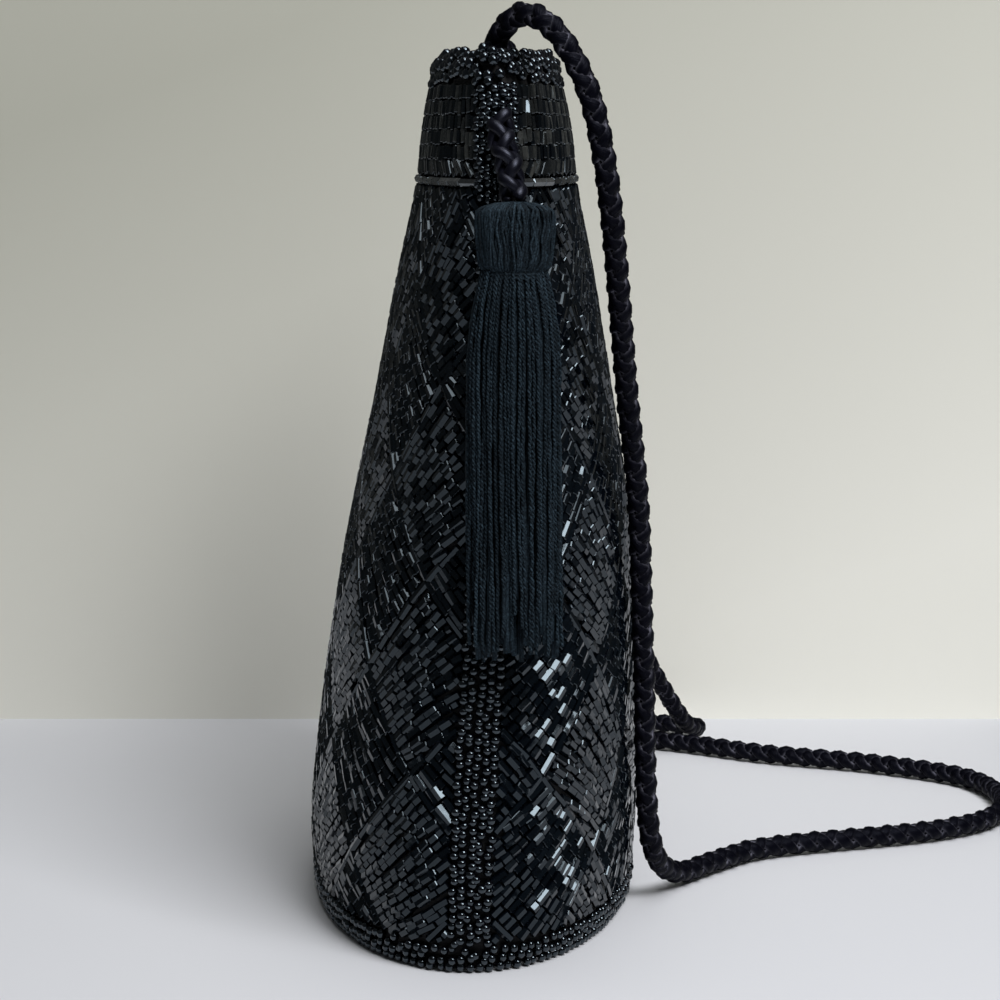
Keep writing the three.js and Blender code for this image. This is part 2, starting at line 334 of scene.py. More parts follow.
def hexagon_beads(first, last, out, width, roll, chamfer=0.16):
    """Points and faces of six-sided tubes with chamfered ends, one for each pair of end points."""
    axis = unit(last - first)
    side = unit(np.cross(axis, out))
    out = np.cross(side, axis)
    cos, sin = np.cos(roll)[:, None], np.sin(roll)[:, None]
    out, side = cos * out + sin * side, cos * side - sin * out
    ring = TUBE_SECTION[None, :, :1] * out[:, None] + TUBE_SECTION[None, :, 1:] * side[:, None]
    ring = ring * width[:, None, None]
    spots = [(first, 0, 0.8), (first, chamfer, 1.0), (last, -chamfer, 1.0), (last, 0, 0.8)]
    rings = [(base + axis * shift)[:, None] + ring * share for base, shift, share in spots]
    points = np.concatenate(rings, axis=1)
    count = np.arange(len(points))[:, None, None] * 24
    quads = (grid_faces(4, 6)[None] + count).reshape(-1, 4)
    caps = (np.array([[5, 4, 3, 2, 1, 0], [18, 19, 20, 21, 22, 23]])[None] + count).reshape(-1, 6)
    return points.reshape(-1, 3), quads, caps


def bead_rolls(out, sway=BUGLE_SWAY):
    """How far each tube has turned on its thread: most lie flat near the seams, and few round the sides."""
    loose = rng.random(len(out)) < np.clip(LOOSE_ENDS + LOOSE_SIDES * np.abs(out[:, 0]) ** 2, 0, 1)
    any_way = rng.uniform(-np.pi / 6, np.pi / 6, len(out))
    nearly_flat = rng.normal(0, np.radians(sway), len(out))
    return np.where(loose, any_way, nearly_flat)


def place_bugles(beads, width):
    """End points and outward directions of the beads of trellis rows."""
    shares, heights = np.array(beads)[:, :2], np.array(beads)[:, 2:]
    tips = []
    for k in (0, 1):
        sunk = np.abs(rng.normal(0, UNEVEN_DEPTH, len(shares)))
        shift = rng.normal(0, UNEVEN_PLACE, (2, len(shares)))
        share, z = shares[:, k] + shift[0] / ROUND_LENGTH, heights[:, k] + shift[1]
        tips.append(wall(share, z, 0.5 * width + BUGLE_SINK + sunk))
    return tips[0][0], tips[1][0], unit(tips[0][1] + tips[1][1])


def fan_rows(m, n, half_wide, slant, seamward):
    """Starts and ends of the rows that fill a diamond; rows nearer the seam lie flatter than its sides."""
    half = np.array([half_wide, DIAMOND_HEIGHT / 2])
    edge = np.arctan2(half[1], half[0])
    reach = half[0] * np.sin(edge)
    limit = 0.5 - OUTLINE_ROOM / reach / 2
    pitch = ROW_PITCH * rng.uniform(0.96, 1.08)
    middle, rows = np.array([m - n, m + n]), []
    for offset in np.arange(-reach - 4 * pitch, reach + 4 * pitch, pitch) + rng.uniform(0, pitch):
        closeness = np.clip(0.5 - seamward * offset / reach / 2, 0, 1)
        angle = edge - ROW_FAN * closeness
        base = offset * np.array([np.sin(edge), -slant * np.cos(edge)]) / half
        way_on = np.array([slant * np.cos(angle), np.sin(angle)]) / half
        places = [(base[1] + base[0]) / 2, (base[1] - base[0]) / 2]
        speeds = [(way_on[1] + way_on[0]) / 2, (way_on[1] - way_on[0]) / 2]
        cuts = [sorted(((-limit - c) / d, (limit - c) / d)) for c, d in zip(places, speeds)]
        low, high = max(cut[0] for cut in cuts), min(cut[1] for cut in cuts)
        if high - low > BUGLE_LENGTHS[0]:
            start, end = middle + base + low * way_on, middle + base + high * way_on
            rows.append((start, end, abs(offset) > reach - pitch))
    return rows


bugle_glass = glass_finish("bugle_glass", GLASS_DARK, GLASS_PALE, 0.05, 0.16, 1.5)
COLUMNS, TIERS = 11, 9
for panel, side in (("front", 1), ("back", -1)):
    filling, outlines = [], []
    for m in range(-1, 11):
        for n in range(-6, 6):
            column, tier = m - n, m + n
            if not (0 <= column < COLUMNS and -1 <= tier < TIERS):
                continue
            wide = 2 * VERTEX_STEP * girth(np.clip(tier * DIAMOND_HEIGHT / 2, 10, 172)) / 2
            slant = 1 if (column % 2 == 0) == (panel == "back") else -1
            seamward = 1 if column <= COLUMNS // 2 else -1
            cell_bow = rng.normal(0, CELL_BOW)
            for start, end, outer in fan_rows(m, n, wide / 2, slant, seamward):
                low, usual, high = BUGLE_LENGTHS
                longer = 1.4 if outer else 1.0
                bow = cell_bow + rng.normal(0, ROW_BOW)
                filling += string_row(side, start, end, bow, (low, usual * longer, high * longer))
            for ends in (((m, n), (m + 1, n)), ((m, n), (m, n + 1))):
                start, end = ((u - v, u + v - 1) for u, v in ends)
                outlines += string_row(side, start, end, 0, LONG_LENGTHS)
    kinds = ("filling", filling, BUGLE_WIDTH, 2), ("outlines", outlines, LONG_WIDTH, 1)
    for label, beads, width, part_count in kinds:
        first, last, out = place_bugles(beads, width)
        sizes, rolls = rng.normal(width, UNEVEN_SIZE, len(beads)), bead_rolls(out)
        for part, chosen in enumerate(np.array_split(np.arange(len(beads)), part_count)):
            laid = (column[chosen] for column in (first, last, out, sizes, rolls))
            points, quads, caps = hexagon_beads(*laid)
            make_piece(
                f"bugle_{label}_{panel}_{part}", points, [quads, caps], bugle_glass, False,
                [f"panel_{panel}"],
            )

# Divider row
# A single row of long bugles laid level round the bag, where the panels meet the collar.
# They are strung end to end and stand a little proud.
DIVIDER_HEIGHT, DIVIDER_WIDTH, DIVIDER_BEAD, DIVIDER_PROUD = 173.9, 1.7, 6.2, 0.45
# Painted reflection: a few divider beads are coloured pale grey, standing in for the bright wall and window
# mirrored in them.
DIVIDER_DARK, DIVIDER_PAINTED_REFLECTION = (0.004, 0.004, 0.005, 1), (0.15, 0.153, 0.15, 1)
divider_glass = glass_finish("divider_glass", DIVIDER_DARK, DIVIDER_PAINTED_REFLECTION, 0.08, 0.2, 1.8, 3)


def ring_places(z, pitch, clear):
    """Evenly spaced shares round one panel, clear of the two seams: the start of each place and its step."""
    whole = girth(z) / 2
    count = int(round((whole - 2 * clear) / pitch))
    edges = (clear + np.arange(count) * (whole - 2 * clear) / count) / whole / 2
    return edges, (whole - 2 * clear) / count / whole / 2


for panel, side in (("front", 1), ("back", -1)):
    edges, step = ring_places(DIVIDER_HEIGHT, DIVIDER_BEAD, SEAM_EDGE)
    slack = step * BEAD_GAP / DIVIDER_BEAD
    under = DIVIDER_WIDTH / 2 - DIVIDER_PROUD
    first, out_first = wall(side * (edges + slack), DIVIDER_HEIGHT, under)
    last, out_last = wall(side * (edges + step - slack), DIVIDER_HEIGHT, under)
    out = unit(out_first + out_last)
    points, quads, caps = hexagon_beads(first, last, out, np.full(len(edges), DIVIDER_WIDTH), bead_rolls(out))
    make_piece(
        f"divider_bugles_{panel}", points, [quads, caps], divider_glass, False,
        [f"divider_{panel}"],
    )

# Collar
# Six rows of upright short bugles, side by side, on the stiffened band below the mouth.
# Each is a little crooked, and the lowest row leans towards the seam.
COLLAR_LOW, COLLAR_HIGH, COLLAR_ROWS = 175.3, 195.5, 6
COLLAR_BEAD_WIDTH, COLLAR_PITCH, COLLAR_GAP, COLLAR_EDGE = 1.5, 2.0, 0.34, 6.0
COLLAR_LEAN, COLLAR_SWAY = 1.3, 24.0
COLLAR_CROOK, COLLAR_SINK, COLLAR_DROP, COLLAR_UNEVEN = 0.15, 0.14, 0.22, 0.1
# Painted reflection: a few collar beads are coloured pale olive grey, standing in for the wall mirrored in
# their facets.
COLLAR_PAINTED_REFLECTION = (0.085, 0.087, 0.08, 1)
collar_glass = glass_finish("collar_glass", GLASS_DARK, COLLAR_PAINTED_REFLECTION, 0.05, 0.25, 1.55, 3)
row_height = (COLLAR_HIGH - COLLAR_LOW) / COLLAR_ROWS
for panel, side in (("front", 1), ("back", -1)):
    firsts, lasts, outs = [], [], []
    for row in range(COLLAR_ROWS):
        low = COLLAR_LOW + row * row_height + COLLAR_GAP / 2
        high = low + row_height - COLLAR_GAP
        lean = COLLAR_LEAN if row == 0 else 0
        edges, step = ring_places(low, COLLAR_PITCH, COLLAR_EDGE + lean)
        middle = edges + step / 2 + rng.normal(0, 0.04, len(edges)) * step
        crook = rng.normal(0, COLLAR_CROOK, len(edges))
        shift = (crook + lean) / girth(low)
        lift = COLLAR_BEAD_WIDTH / 2 + np.abs(rng.normal(0, COLLAR_SINK, (2, len(edges))))
        drop = rng.normal(0, COLLAR_DROP, len(edges))
        first, out_first = wall(side * (middle - shift), low + drop, lift[0])
        last, out_last = wall(side * (middle + shift), high + drop, lift[1])
        firsts.append(first)
        lasts.append(last)
        outs.append(unit(out_first + out_last))
    first, last, out = (np.concatenate(v) for v in (firsts, lasts, outs))
    sizes = rng.normal(COLLAR_BEAD_WIDTH, COLLAR_UNEVEN, len(first))
    points, quads, caps = hexagon_beads(first, last, out, sizes, bead_rolls(out, COLLAR_SWAY))
    make_piece(
        f"collar_bugles_{panel}", points, [quads, caps], collar_glass, False,
        [f"collar_{panel}"],
    )

# Seed-bead edgings and seam strips
# Small round black glass beads, sewn on thickly by hand: three rows round the base, a plump roll round the
# mouth, and a strip of about five beads over each side seam.
SEED_SIZE = 2.2
SEED_GLASS_DARK, SEED_GLASS_PALE = (0.001, 0.001, 0.002, 1), (0.004, 0.004, 0.006, 1)
SEED_SIDES, SEED_RINGS = 9, 6
# Shape of a seed bead: how plump its side is, and its half length at the rim and at the hole
SEED_PLUMP, SEED_FLAT, SEED_HOLE = 0.8, 0.84, 0.41
seed_glass = glass_finish("seed_glass", SEED_GLASS_DARK, SEED_GLASS_PALE, 0.02, 0.07, 1.7)


def seed_beads(centres, axes, sizes):
    """Points and faces of round beads, flattened a little along their thread."""
    axes = unit(axes)
    helper = np.where(np.abs(axes[:, 2:]) < 0.8, [[0.0, 0.0, 1.0]], [[1.0, 0.0, 0.0]])
    side = unit(np.cross(helper, axes))
    other = np.cross(axes, side)
    tilt = np.linspace(0, np.pi, SEED_RINGS + 1)[1:-1]
    swing = 2 * np.pi * np.arange(SEED_SIDES) / SEED_SIDES
    around = np.cos(swing)[:, None, None] * side[None] + np.sin(swing)[:, None, None] * other[None]
    radius = sizes[:, None] / 2
    rings = [
        centres + radius * (np.sin(a) ** SEED_PLUMP * around - SEED_FLAT * np.cos(a) * axes) for a in tilt
    ]
    body = np.concatenate(rings).transpose(1, 0, 2)
    hole = axes * sizes[:, None] * SEED_HOLE
    poles = centres - hole, centres + hole
    points = np.concatenate([body, poles[0][:, None], poles[1][:, None]], axis=1)
    per_bead = points.shape[1]
    base = np.arange(len(centres))[:, None, None] * per_bead
    quads = (grid_faces(SEED_RINGS - 1, SEED_SIDES)[None] + base).reshape(-1, 4)
    j = np.arange(SEED_SIDES)
    next_j = (j + 1) % SEED_SIDES
    top_ring = (SEED_RINGS - 2) * SEED_SIDES
    low_fan = np.stack([next_j, j, np.full(SEED_SIDES, per_bead - 2)], -1)
    high_fan = np.stack([top_ring + j, top_ring + next_j, np.full(SEED_SIDES, per_bead - 1)], -1)
    fans = (np.concatenate([low_fan, high_fan])[None] + base).reshape(-1, 3)
    return points.reshape(-1, 3), quads, fans


def seed_ring(z, under, pitch, wobble):
    """Centres and thread directions of a row of beads right round the bag."""
    count = int(girth(z) / pitch)
    share = (np.arange(count) + rng.uniform(0, 1) + rng.normal(0, 0.08, count)) / count
    heights = z + rng.normal(0, wobble, count)
    centres, _ = wall(share, heights, under + rng.normal(0, 0.1, count))
    ahead, _ = wall(share + 0.3 / count, heights, under)
    return centres, ahead - centres + rng.normal(0, 0.15, centres.shape)


def sew_seeds(name, rows, nodes, size=SEED_SIZE):
    """One piece from rows of beads."""
    centres, axes = (np.concatenate(v) for v in zip(*rows))
    sizes = rng.normal(size, 0.1, len(centres))
    points, quads, fans = seed_beads(centres, axes, sizes)
    make_piece(name, points, [quads, fans], seed_glass, True, nodes)


# height, depth under the wall's face, wobble in mm
BASE_ROWS, BASE_PITCH = [(1.15, 0.8, 0.05), (3.1, 0.5, 0.35), (5.1, 0.6, 0.45)], 2.35
base_rows = [seed_ring(z, under, BASE_PITCH, wobble) for z, under, wobble in BASE_ROWS]
sew_seeds("base_seeds", base_rows, ["base_edging"])
MOUTH_ROWS = [(197.4, 0.9, 0.6), (200.1, 0.7, 0.7), (202.1, 1.5, 0.6), (201.6, 3.4, 0.5)]
MOUTH_PITCH, MOUTH_SEED_SIZE = 2.9, 2.6
mouth_rows = [seed_ring(z, under, MOUTH_PITCH, wobble) for z, under, wobble in MOUTH_ROWS]
sew_seeds("mouth_seeds", mouth_rows, ["mouth_edging"], MOUTH_SEED_SIZE)

# The strip flares at the collar. Each stretch: bottom, top, beads across and their pitch
STRIP_STRETCHES = [(6.8, 173.5, 5, 1.95), (173.5, 195.6, 7, 1.78)]
STRIP_STEP, STRIP_UNDER = 2.0, 0.65
for place, seam_share in (("near", 0.0), ("far", 0.5)):
    rows = []
    for low, high, columns, pitch in STRIP_STRETCHES:
        for column in range(columns):
            z = np.arange(low + (column % 2) * STRIP_STEP / 2, high, STRIP_STEP)
            z = z + rng.normal(0, 0.22, len(z))
            across = (column - (columns - 1) / 2) * pitch + rng.normal(0, 0.25, len(z))
            centres, _ = wall(seam_share + across / girth(z), z, STRIP_UNDER + rng.normal(0, 0.2, len(z)))
            rows.append((centres, np.array([0, 0, 1.0]) + rng.normal(0, 0.5, centres.shape)))
    sew_seeds(f"seam_seeds_{place}", rows, [f"seam_{place}"])

# Strap
# A round braid of four black cords with a faint blue-violet sheen, sewn inside each end of the mouth.
# It arches over the rim, hangs to the floor and lies there in a loose loop.
STRAP_WIDTH, STRAP_PITCH = 5.6, 10.4
STRAP_STEP, STRAP_SIDES = 0.8, 8
# Shares of the braid's width: half a strand's width and thickness, its distance from the middle, its weave
STRAND_WIDE, STRAND_THICK, STRAND_REACH, STRAND_WEAVE = 0.28, 0.19, 0.265, 0.07
STRAP_ROUTE = np.array([
    [5.7, -69.0, 180], [5.6, -64.6, 189], [5.5, -60.8, 198], [6.1, -61.2, 205.4], [11.6, -67.4, 210.5],
    [17.8, -72.6, 207.4], [25.0, -76.0, 195.5], [29.3, -75.0, 178.8], [35.8, -52.0, 124], [38.8, -43.0, 99],
    [40.6, -37.5, 61], [43.4, -31.5, 14], [49.5, -20.0, 4.4], [61.0, -5.0, 3.1], [73.0, 7.0, 3.0],
    [123.0, 26.5, 3.0], [138.0, 39.0, 3.0], [145.0, 58.0, 3.0], [140.0, 83.0, 3.0], [117.0, 101.0, 3.0],
    [86.0, 114.0, 3.0], [53.0, 133.0, 3.0], [18.0, 139.0, 3.0], [-14.0, 138.0, 3.0], [-27.5, 144.5, 3.0],
    [-27.5, 158.0, 3.0], [-14.0, 164.5, 3.0], [20.0, 163.0, 3.0], [53.0, 158.0, 3.0], [67.0, 148.0, 3.6],
    [62.0, 133.0, 9], [43.0, 117.0, 46], [32.5, 106.0, 90], [18.0, 87.0, 176], [12.0, 80.4, 198.2],
    [8.8, 75.4, 206.6], [6.2, 64.8, 206.8], [5.6, 59.6, 198.4], [5.6, 62.6, 188.5], [5.7, 68.6, 180],
])
BRAID_DARK, BRAID_PALE = (0.0006, 0.0006, 0.0016, 1), (0.003, 0.003, 0.0065, 1)
# Pale grey-violet for a painted highlight along the strands' edges
BRAID_PAINTED_HIGHLIGHT = (0.15, 0.15, 0.19, 1)


def smooth_route(route, step):
    """Evenly spaced points on one smooth curve through a cord's route."""
    padded = np.vstack([2 * route[0] - route[1], route, 2 * route[-1] - route[-2]])
    reach = np.sqrt(np.linalg.norm(np.diff(padded, axis=0), axis=1))
    pieces = []
    for i in range(1, len(padded) - 2):
        p0, p1, p2, p3 = padded[i - 1:i + 3]
        d0, d1, d2 = reach[i - 1:i + 2]
        leave = ((p1 - p0) / d0 - (p2 - p0) / (d0 + d1) + (p2 - p1) / d1) * d1
        arrive = ((p2 - p1) / d1 - (p3 - p1) / (d1 + d2) + (p3 - p2) / d2) * d1
        t = np.linspace(0, 1, 40, endpoint=False)[:, None]
        pieces.append(p1 + (p2 - p1) * t * t * (3 - 2 * t) + t * (1 - t) * ((1 - t) * leave - t * arrive))
    line = np.vstack(pieces + [route[-1:]])
    run = np.concatenate([[0], np.cumsum(np.linalg.norm(np.diff(line, axis=0), axis=1))])
    places = np.linspace(0, run[-1], int(run[-1] / step) + 1)
    return np.column_stack([np.interp(places, run, line[:, k]) for k in range(3)]), places


def carried_frames(line, start):
    """Two directions square to a line, carried along it without twisting."""
    forward = unit(np.gradient(line, axis=0))
    sides = np.empty_like(line)
    side = start
    for i, way_on in enumerate(forward):
        side = side - way_on * (side @ way_on)
        side = side / np.linalg.norm(side)
        sides[i] = side
    return sides, np.cross(forward, sides)


def cord_along(line, radius, sides, frames=None, flat=1.0):
    """Points, faces and lie of a strand along a line; the lie is the turn round it and mm along it."""
    side, other = carried_frames(line, np.array((0.36, 0.8, 0.48))) if frames is None else frames
    swing = 2 * np.pi * np.arange(sides) / sides
    radius = np.broadcast_to(radius, len(line))[:, None, None]
    ring = np.cos(swing)[None, :, None] * side[:, None] + flat * np.sin(swing)[None, :, None] * other[:, None]
    points = line[:, None] + radius * ring
    run = np.concatenate([[0], np.cumsum(np.linalg.norm(np.diff(line, axis=0), axis=1))])
    lie = np.stack(np.broadcast_arrays(np.sin(swing)[None], np.cos(swing)[None], run[:, None]), -1)
    caps = np.stack([np.arange(sides)[::-1], (len(line) - 1) * sides + np.arange(sides)])
    return points.reshape(-1, 3), grid_faces(len(line), sides), caps, lie.reshape(-1, 3)


def bundle(strands):
    """Many strands as one set of points and faces."""
    base, groups = 0, []
    for points, quads, caps, lie in strands:
        groups.append((points, quads + base, caps + base, lie))
        base += len(points)
    return [np.concatenate(v) for v in zip(*groups)]


def four_strand_braid(line, places, width, pitch, sides, start, wide=STRAND_WIDE, thick=STRAND_THICK):
    """Four flattened strands, two turning each way, each passing over and under the others in turn."""
    side, other = carried_frames(line, np.array(start))
    turn = 2 * np.pi * places / pitch
    strands = []
    for sign, phase in ((1, 0), (1, np.pi), (-1, 0), (-1, np.pi)):
        swing = sign * turn + phase + np.pi / 4
        out = np.cos(swing)[:, None] * side + np.sin(swing)[:, None] * other
        centre = line + width * (STRAND_REACH + sign * STRAND_WEAVE * np.cos(2 * turn))[:, None] * out
        forward = unit(np.gradient(centre, axis=0))
        across = unit(np.cross(forward, out))
        frames = across, np.cross(across, forward)
        strands.append(cord_along(centre, width * wide, sides, frames, thick / wide))
    return bundle(strands)


def thread_finish(name, dark, pale, painted_highlight, gloss, relief):
    """Bundled filaments that wind round each strand, paler where they stand up, with a painted highlight
    along the edges of each strand.
    """
    sheen = {"Specular IOR Level": gloss, "Specular Tint": (0.7, 0.75, 1, 1)}
    material, shader, hand = new_finish(name, sheen)
    lie = hand.node("Attribute", {"attribute_name": "along"}, output="Vector")
    stretch = hand.node("Mapping", None, {"Vector": lie, "Scale": (2.6, 2.6, 0.2)})
    filament = hand.node("TexNoise", None, {"Vector": stretch, "Scale": 1.6, "Detail": 5, "Roughness": 0.6})
    place = hand.node("TexCoord", output="Object")
    patch = hand.node("TexNoise", None, {"Vector": place, "Scale": 260, "Detail": 2})
    across = hand.node("SeparateXYZ", None, {0: lie}, 1)
    # Painted highlight: the colour turns pale grey-violet along the edges of each strand, where a rounded
    # edge would catch the light.
    edge_highlight_mask = ((across * across) ** 6) * (patch ** 3) * 6
    body = hand.blend(filament * (0.5 + patch), dark, pale)
    hand.put(hand.blend(edge_highlight_mask, body, painted_highlight), shader.inputs["Base Color"])
    hand.put(0.22 + 0.3 * filament, shader.inputs["Roughness"])
    ridges = hand.node("Bump", None, {"Strength": relief, "Distance": 0.0003, "Height": filament})
    hand.put(ridges, shader.inputs["Normal"])
    return material


strap_thread = thread_finish("strap_thread", BRAID_DARK, BRAID_PALE, BRAID_PAINTED_HIGHLIGHT, 0.07, 0.9)
strap_line, strap_places = smooth_route(STRAP_ROUTE, STRAP_STEP)
points, quads, caps, lie = four_strand_braid(
    strap_line, strap_places, STRAP_WIDTH, STRAP_PITCH, STRAP_SIDES, (0, 1, 0),
)
strap = make_piece(
    "strap_braid", points, [quads, caps], strap_thread, True, ["strap_cord"], lie,
)

# Tassels
# Dark slate-blue rayon cords, folded over a short braid, bound at the neck and cut to a ragged end.
# One hangs along each side seam; the far one is the near one turned half round.
TASSEL_DARK, TASSEL_PALE = (0.001, 0.0018, 0.003, 1), (0.034, 0.056, 0.076, 1)
HEAD_TOP, HEAD_WIDTH, HEAD_DEPTH, HEAD_HEIGHT = 169.8, 18.0, 11.8, 15.6
SKIRT_WIDTH, SKIRT_DEPTH, SKIRT_LENGTH = 21.0, 11.6, 84.0
SKIRT_RINGS = [(1.0, 60), (0.8, 32), (0.5, 14)]  # reach as a share of the outermost, strands
HEAD_STRANDS, HEAD_STRAND_WIDTH = 210, 0.66
NECK_SHARE, RAGGED, TUCK = 0.84, 7, 1.0
STRAND_WIDTH, PLY_WIDTH, PLY_REACH, TWIST = 1.2, 0.52, 0.22, 1.9
# Only strands on the outer side are twisted from plies. Points along a plied, a plain and a head strand
PLIED_BEHIND, PLIED_POINTS, PLAIN_POINTS, HEAD_POINTS = 0.05, 196, 20, 18
BINDING_TURNS, BINDING_POINTS, BINDING_WIDTH, BINDING_PITCH = 3, 40, 1.0, 0.8
STRAND_SIDES = 4
TASSEL_OFFSET, TASSEL_OUT = 4.0, 7.5


def rayon_finish():
    """Soft twisted rayon: matt, fuzzy with broken filaments, and each cord a little paler or darker."""
    material, shader, hand = new_finish("tassel_thread", {"Specular IOR Level": 0.08})
    strand = hand.node("NewGeometry", output="Random Per Island")
    place = hand.node("TexCoord", output="Object")
    fuzz = hand.node("TexNoise", None, {"Vector": place, "Scale": 2300, "Detail": 4, "Roughness": 0.75})
    patch = hand.node("TexNoise", None, {"Vector": place, "Scale": 150, "Detail": 2})
    pale = (0.3 + 0.7 * strand) * (0.4 + 1.2 * patch) * (fuzz ** 4) * 8.5
    hand.put(hand.blend(pale, TASSEL_DARK, TASSEL_PALE), shader.inputs["Base Color"])
    hand.put(0.55 + 0.3 * fuzz, shader.inputs["Roughness"])
    nap = hand.node("Bump", None, {"Strength": 0.7, "Distance": 0.0003, "Height": fuzz})
    hand.put(nap, shader.inputs["Normal"])
    return material


tassel_thread = rayon_finish()


def tassel_strands():
    """Strands of one tassel, from the middle of its head's top; -Y is away from the bag."""
    strands = []
    neck = NECK_SHARE * HEAD_WIDTH
    for reach, count in SKIRT_RINGS:
        for i in range(count):
            turn = 2 * np.pi * (i + 0.3 * rng.normal()) / count
            plied = reach == 1 and np.sin(turn) < PLIED_BEHIND
            fall = np.linspace(0, 1, PLIED_POINTS if plied else PLAIN_POINTS)[:, None]
            length = SKIRT_LENGTH - abs(rng.normal(0, RAGGED))
            inset = STRAND_WIDTH / 2 + rng.uniform(0, 0.7)
            spread = 1 - (1 - np.minimum(1, fall / 0.3)) ** 2
            width = ((neck + (SKIRT_WIDTH - neck) * spread) / 2 - inset) * reach
            depth = (SKIRT_DEPTH / 2 - inset) * reach * np.minimum(1, 0.74 + 3.5 * fall)
            sway = 0.5 * np.sin(rng.uniform(3, 8) * fall + rng.uniform(0, 6)) * fall ** 0.7
            crimp = 0.1 * np.sin(rng.uniform(50, 80) * fall + rng.uniform(0, 6))
            line = np.hstack([
                width * np.cos(turn) + sway + crimp,
                depth * np.sin(turn) + 0.5 * sway,
                -HEAD_HEIGHT + TUCK - length * fall,
            ])
            if not plied:
                strands.append(cord_along(line, STRAND_WIDTH / 2, STRAND_SIDES))
                continue
            swing = 2 * np.pi * length * fall / TWIST + rng.uniform(0, 6)
            for ply in (PLY_REACH, -PLY_REACH):
                offset = ply * np.hstack([np.cos(swing), np.sin(swing), np.zeros_like(swing)])
                strands.append(cord_along(line + offset, PLY_WIDTH / 2, STRAND_SIDES))
    arc = np.linspace(0, 1, HEAD_POINTS)[:, None]
    shoulder = np.minimum(1, arc / 0.22)
    shape = (1 - (1 - shoulder) ** 2.4) * (1 - 0.13 * np.clip((arc - 0.4) / 0.6, 0, 1) ** 1.4)
    shape = shape * (1 - 0.34 * np.clip((arc - 0.86) / 0.14, 0, 1) ** 2)
    drop = np.clip((arc - 0.03) / 0.97, 0, 1) ** 1.1
    for i in range(HEAD_STRANDS):
        turn = 2 * np.pi * (i + 0.4 * rng.normal()) / HEAD_STRANDS
        turn = turn + 0.04 * np.sin(rng.uniform(6, 20) * arc + rng.uniform(0, 6))
        inset = 0.4 + 1.1 * rng.random()
        line = np.hstack([
            (HEAD_WIDTH / 2 - inset) * shape * np.cos(turn),
            (HEAD_DEPTH / 2 - inset) * shape * np.sin(turn),
            -HEAD_HEIGHT * drop,
        ])
        strands.append(cord_along(line, HEAD_STRAND_WIDTH / 2, STRAND_SIDES))
    for turn_down in range(BINDING_TURNS):
        swing = np.linspace(0, 2 * np.pi, BINDING_POINTS)
        line = np.column_stack([
            (HEAD_WIDTH / 2 - 2.6) * np.cos(swing),
            (HEAD_DEPTH / 2 - 2.2) * np.sin(swing),
            np.full(BINDING_POINTS, -HEAD_HEIGHT + 0.9 - BINDING_PITCH * turn_down),
        ])
        strands.append(cord_along(line, BINDING_WIDTH / 2, STRAND_SIDES))
    return bundle(strands)


def hang(points, place, top_length, slope, lean):
    """Tassel points in the bag's frame, on the near or the far seam."""
    x, y, z = points.T
    y, z = y * np.cos(slope) + z * np.sin(slope), z * np.cos(slope) - y * np.sin(slope)
    x, y, z = x + TASSEL_OFFSET, y - top_length - TASSEL_OUT, z + HEAD_TOP
    turned = -1 if place == "far" else 1
    return np.column_stack([lean + turned * x, turned * y, z])


_, top_length, top_lean = oval(np.array(HEAD_TOP))
_, end_length, _ = oval(np.array(HEAD_TOP - HEAD_HEIGHT - SKIRT_LENGTH))
slope = np.arctan2(end_length - top_length, HEAD_HEIGHT + SKIRT_LENGTH)
TASSEL_CORD_WIDTH, TASSEL_CORD_TOP, TASSEL_CORD_OFFSET = 6.8, 188.0, 0.9
TASSEL_CORD_PITCH, TASSEL_CORD_STEP, TASSEL_CORD_SIDES = 13.0, 0.5, 10
TASSEL_CORD_WIDE, TASSEL_CORD_THICK = 0.2, 0.17
tassel_cord_thread = thread_finish("tassel_cord_thread", BRAID_DARK, BRAID_PALE, BRAID_PALE, 0.32, 0.25)
for place in ("near", "far"):
    points, quads, caps, _ = tassel_strands()
    make_piece(
        f"tassel_threads_{place}", hang(points, place, top_length, slope, top_lean), [quads, caps],
        tassel_thread, True, [f"tassel_{place}"],
    )
    _, cord_length, _ = oval(np.array(TASSEL_CORD_TOP))
    middle_x, middle_z = (TASSEL_CORD_OFFSET + TASSEL_OFFSET) / 2, (TASSEL_CORD_TOP + HEAD_TOP) / 2
    route = np.array([
        [TASSEL_CORD_OFFSET, -cord_length + 1.2, TASSEL_CORD_TOP],
        [TASSEL_CORD_OFFSET + 0.2, -cord_length - 2.2, TASSEL_CORD_TOP - 4.5],
        [middle_x, -(cord_length + top_length) / 2 - 3.6, middle_z],
        [TASSEL_OFFSET, -top_length - 5.6, HEAD_TOP + 0.2],
    ])
    line, places = smooth_route(route, TASSEL_CORD_STEP)
    points, quads, caps, lie = four_strand_braid(
        line, places, TASSEL_CORD_WIDTH, TASSEL_CORD_PITCH, TASSEL_CORD_SIDES, (1, 0, 0),
        TASSEL_CORD_WIDE, TASSEL_CORD_THICK,
    )
    turned = np.array([-1, -1, 1]) if place == "far" else np.array([1, 1, 1])
    make_piece(
        f"tassel_braid_{place}", points * turned + [top_lean, 0, 0], [quads, caps], tassel_cord_thread, True,
        [f"tassel_cord_{place}"], lie,
    )

# Floor, backdrop and light
# A plain pale floor in front of a plain pale backdrop, lit softly from a large window on the right.
# Both carry painted shade: their colour is darker towards the left, and the backdrop's towards the top too.
# Both are clear from behind.
FLOOR_COLOUR, FLOOR_SHADED = (0.68, 0.69, 0.73, 1), (0.64, 0.65, 0.68, 1)
BACKDROP_COLOUR, BACKDROP_SHADED = (0.9, 0.89, 0.82, 1), (0.52, 0.52, 0.45, 1)


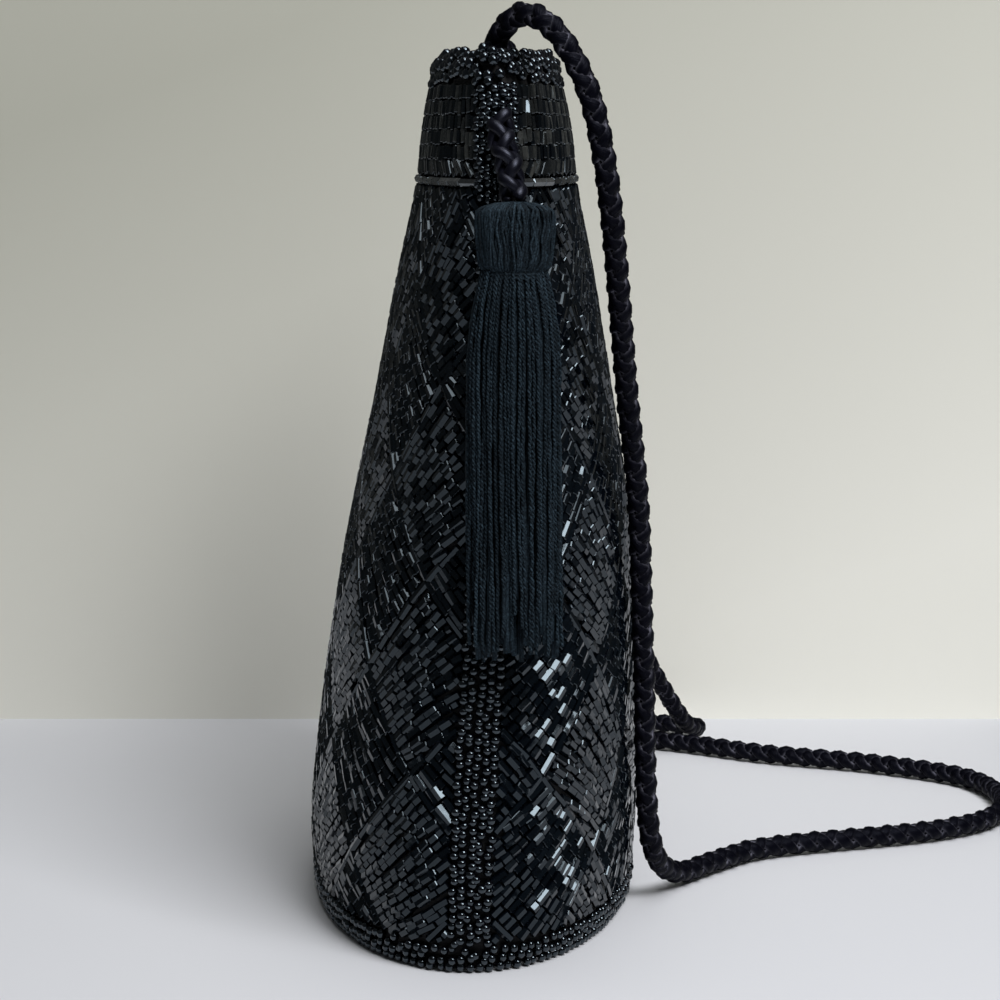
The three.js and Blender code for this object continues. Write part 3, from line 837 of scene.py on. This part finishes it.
def stage_plane(name, corners, colour, shaded):
    mesh = bpy.data.meshes.new(name)
    mesh.from_pydata(corners, [], [(0, 1, 2, 3)])
    plane = bpy.data.objects.new(name, mesh)
    bpy.context.scene.collection.objects.link(plane)
    material, shader, hand = new_finish(name, {"Roughness": 0.6})
    place = hand.node("TexCoord", output="Object")
    mottle = hand.node("TexNoise", None, {"Vector": place, "Scale": 3, "Detail": 2})
    sideways, up = (hand.node("SeparateXYZ", None, {0: place}, k) for k in (0, 2))
    # Painted shade: the colour runs from the shaded one on the left and at the top to the lit one, with a
    # little mottle.
    lit = 0.95 + 1.6 * sideways - 4.2 * up + 0.1 * mottle
    hand.put(hand.blend(lit, shaded, colour), shader.inputs["Base Color"])
    clear = hand.node("BsdfTransparent")
    behind = hand.node("NewGeometry", output="Backfacing")
    one_sided = hand.node("MixShader", None, {0: behind, 1: Shade(hand.tree, shader.outputs[0]), 2: clear})
    hand.put(one_sided, material.node_tree.nodes["Material Output"].inputs["Surface"])
    mesh.materials.append(material)
    return plane


BACKDROP_PLACE, BACKDROP_REACH, BACKDROP_HEIGHT = 0.176, 0.17, 0.6
FLOOR_FRONT, FLOOR_BACK, FLOOR_REACH = -0.8, 0.6, 0.35
stage_plane(
    "floor",
    [(-FLOOR_REACH, FLOOR_FRONT, 0), (FLOOR_REACH, FLOOR_FRONT, 0), (FLOOR_REACH, FLOOR_BACK, 0),
     (-FLOOR_REACH, FLOOR_BACK, 0)],
    FLOOR_COLOUR, FLOOR_SHADED,
)
backdrop = stage_plane(
    "backdrop",
    [(-BACKDROP_REACH, BACKDROP_PLACE, 0), (BACKDROP_REACH, BACKDROP_PLACE, 0),
     (BACKDROP_REACH, BACKDROP_PLACE, BACKDROP_HEIGHT), (-BACKDROP_REACH, BACKDROP_PLACE, BACKDROP_HEIGHT)],
    BACKDROP_COLOUR, BACKDROP_SHADED,
)
backdrop.visible_glossy = False

world = bpy.data.worlds.new("soft_room")
bpy.context.scene.world = world
world.use_nodes = True
ROOM_COLOUR, ROOM_STRENGTH = (0.95, 1, 0.97, 1), 0.06
world.node_tree.nodes["Background"].inputs["Color"].default_value = ROOM_COLOUR
world.node_tree.nodes["Background"].inputs["Strength"].default_value = ROOM_STRENGTH


def window(name, place, aim, size, watts):
    light = bpy.data.lights.new(name, "AREA")
    light.shape, light.size, light.size_y, light.energy = "RECTANGLE", *size, watts
    holder = bpy.data.objects.new(name, light)
    bpy.context.scene.collection.objects.link(holder)
    holder.location = place
    holder.rotation_euler = (Vector(aim) - Vector(place)).to_track_quat("-Z", "Y").to_euler()


window("window_right", (0.41, -0.59, 0.97), (0, -0.05, 0.1), (0.44, 0.52), 10.9)
window("ceiling", (0.1, -0.2, 1.3), (0, 0, 0), (0.7, 0.7), 6)

# Camera
# At the photograph's angle: end-on to the near seam and a little above the rim.
CAMERA_PLACE, CAMERA_PITCH, CAMERA_LENS = (0.0066, -0.667, 0.184), 7.68, 97.2
lens = bpy.data.cameras.new("camera")
lens.lens, lens.sensor_width, lens.clip_start = CAMERA_LENS, 36, 0.01
camera = bpy.data.objects.new("camera", lens)
bpy.context.scene.collection.objects.link(camera)
camera.location = CAMERA_PLACE
camera.rotation_euler = (np.radians(90 - CAMERA_PITCH), 0, 0)
bpy.context.scene.camera = camera
bpy.context.scene.view_settings.view_transform = "Standard"
